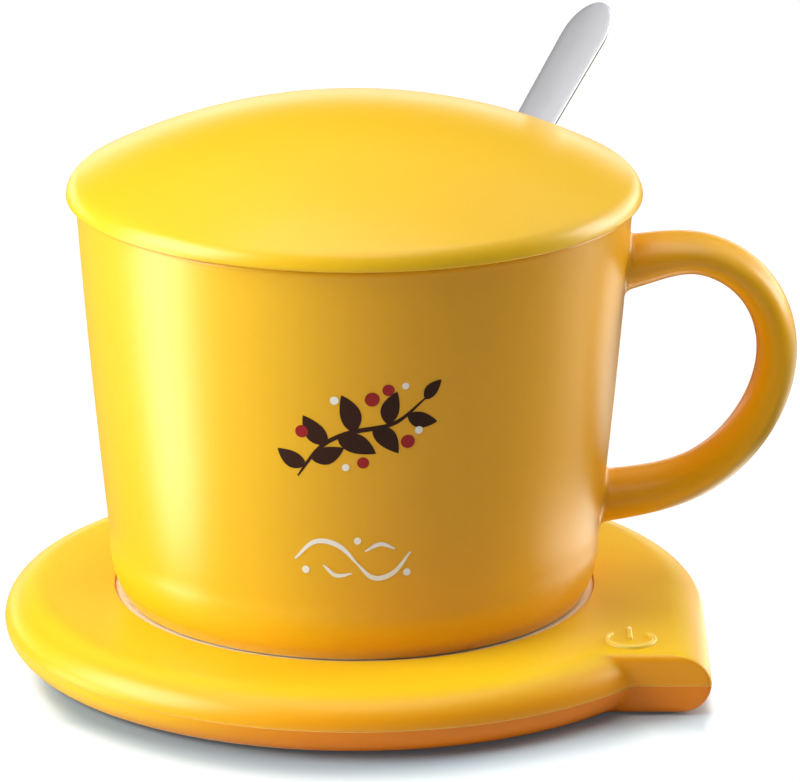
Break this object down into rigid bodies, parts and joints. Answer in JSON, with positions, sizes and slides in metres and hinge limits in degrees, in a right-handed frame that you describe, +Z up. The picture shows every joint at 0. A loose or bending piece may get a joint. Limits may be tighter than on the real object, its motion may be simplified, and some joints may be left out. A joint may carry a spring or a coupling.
{
  "type": "electric mug warmer",
  "caption": "Slim round heated base with a touch tab and a shallow well, holding a lidded ceramic mug with a side handle and a leaning spoon.",
  "frame": {"origin": "on the table under the middle of the base's round well, the plane that the foot ring rests on", "axes": "+Z up along the well's axis, +X towards the mug's handle and the base's touch tab, -Y towards the tab's flat end"},
  "size_m": [0.1502, 0.1332, 0.1129],
  "materials": {
    "housing_plastic": "satin moulded yellow plastic",
    "seal_silicone": "matte cream silicone",
    "plate_aluminium": "fine turned aluminium",
    "heater_film": "amber film",
    "insulator_sheet": "pressed mica sheet",
    "bracket_steel": "stamped zinc-plated steel",
    "screw_steel": "zinc-plated",
    "sensor_epoxy": "cast epoxy",
    "fuse_case": "drawn case",
    "board_laminate": "solder-masked laminate",
    "chip_epoxy": "moulded epoxy",
    "connector_plastic": "moulded nylon",
    "spring_steel": "plated spring wire",
    "socket_shell": "drawn steel shell",
    "lead_insulation": "extruded insulation",
    "sensor_lead_insulation": "extruded insulation",
    "foot_rubber": "matte silicone",
    "mug_ceramic": "satin yellow glaze, cream lip and foot",
    "lid_ceramic": "satin yellow glaze",
    "spoon_steel": "satin stainless steel"
  },
  "bodies": {
    "base": {"top_housing": "housing_plastic", "bottom_housing": "housing_plastic", "plate_seal": "seal_silicone", "heating_plate": "plate_aluminium", "heater_element": "heater_film", "heater_insulator": "insulator_sheet", "heater_bracket": "bracket_steel", "bracket_screws": "screw_steel", "temperature_sensor": "sensor_epoxy", "thermal_fuse": "fuse_case", "control_board": "board_laminate", "controller_chip": "chip_epoxy", "power_transistor": "chip_epoxy", "sensor_connector": "connector_plastic", "touch_spring": "spring_steel", "board_screws": "screw_steel", "inlet_board": "board_laminate", "inlet_socket": "socket_shell", "socket_tongue": "chip_epoxy", "power_leads": "lead_insulation", "heater_leads": "lead_insulation", "sensor_leads": "sensor_lead_insulation", "housing_screws": "screw_steel", "foot_ring": "foot_rubber"},
    "mug": {"mug": "mug_ceramic"},
    "lid": {"lid": "lid_ceramic"},
    "spoon": {"spoon": "spoon_steel"}
  },
  "joints": [
    {"name": "mug_lift", "type": "slide", "parent": "base", "child": "mug", "axis": [0, 0, 1], "range_m": [0, 0.06]},
    {"name": "lid_lift", "type": "slide", "parent": "mug", "child": "lid", "axis": [0, 0, 1], "range_m": [0, 0.05]},
    {"name": "spoon_draw", "type": "slide", "parent": "mug", "child": "spoon", "axis": [0.4782, 0.5056, 0.7181], "range_m": [0, 0.04]}
  ]
}
